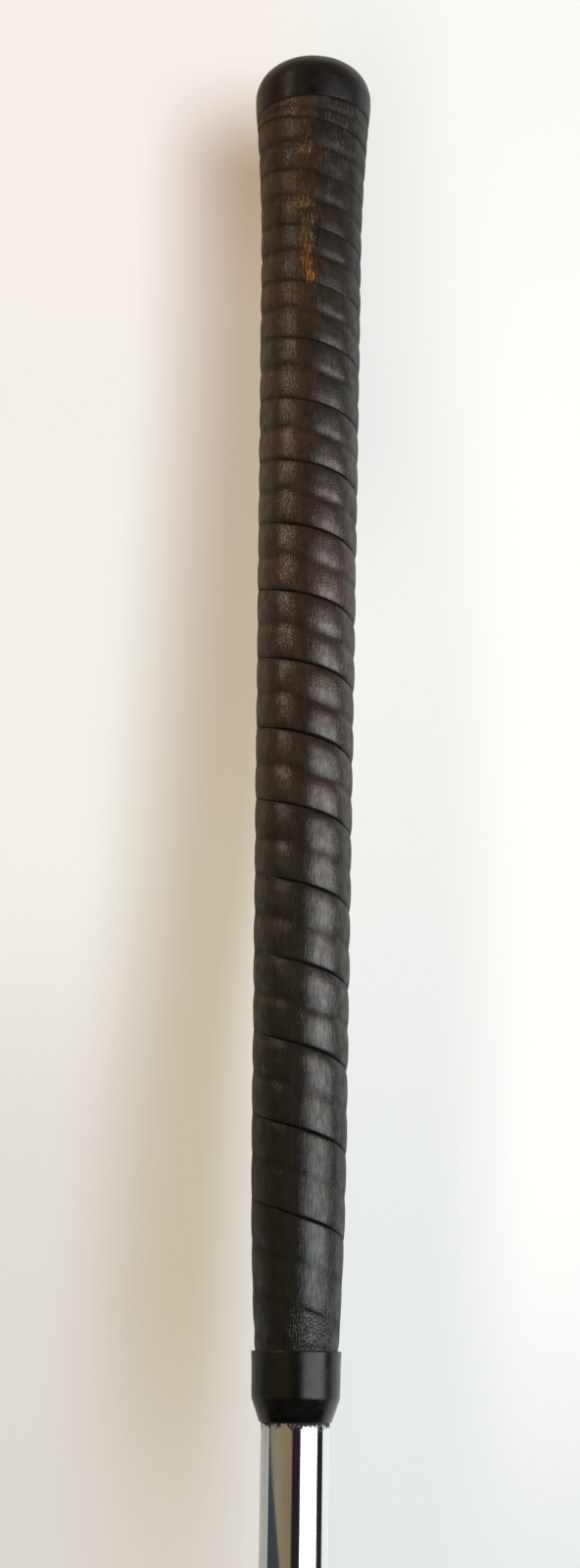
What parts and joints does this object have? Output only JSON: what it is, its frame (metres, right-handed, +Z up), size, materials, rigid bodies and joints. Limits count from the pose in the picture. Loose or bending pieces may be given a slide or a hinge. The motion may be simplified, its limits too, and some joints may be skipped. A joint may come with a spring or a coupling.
{
  "type": "iron golf club",
  "caption": "Right-handed forged blade iron with a stepped chrome shaft, a spirally wound leather grip, a domed butt cap and a tapered collar, for striking a golf ball.",
  "frame": {"origin": "the middle of the grip cap's flat butt end, on the shaft's axis", "axes": "+Z up the shaft's axis towards the butt, so the whole club lies at negative Z; the toe lies to -X and the face looks to -Y, which makes the club right-handed; soled, the ground is 952.5 mm down the axis"},
  "size_m": [0.1018, 0.0412, 0.9857],
  "materials": {
    "cap_plastic": "moulded black, softly polished by handling, fine scuffs",
    "leather": "dark brown calfskin, worn glossy, orange-tan where the dye has rubbed off, near black towards the collar",
    "listing_rubber": "matt moulded rubber",
    "paper_tape": "creped paper tape",
    "cloth_tape": "black cloth tape",
    "collar_plastic": "satin black",
    "shaft_chrome": "polished chrome plate on steel",
    "ferrule_plastic": "polished black",
    "head_chrome": "satin chrome on forged steel, polished on the sole and hosel",
    "pin_steel": "ground flush and plated over",
    "weight_brass": "as turned",
    "cork": "plain cork"
  },
  "bodies": {
    "root": {"end_cap": "cap_plastic", "leather_strip": "leather", "underlisting": "listing_rubber", "grip_tape": "paper_tape", "strip_end_tape": "cloth_tape", "grip_collar": "collar_plastic", "shaft": "shaft_chrome", "hosel_ferrule": "ferrule_plastic", "club_head": "head_chrome", "hosel_pin": "pin_steel", "tip_weight": "weight_brass", "tip_cork": "cork"}
  },
  "joints": []
}
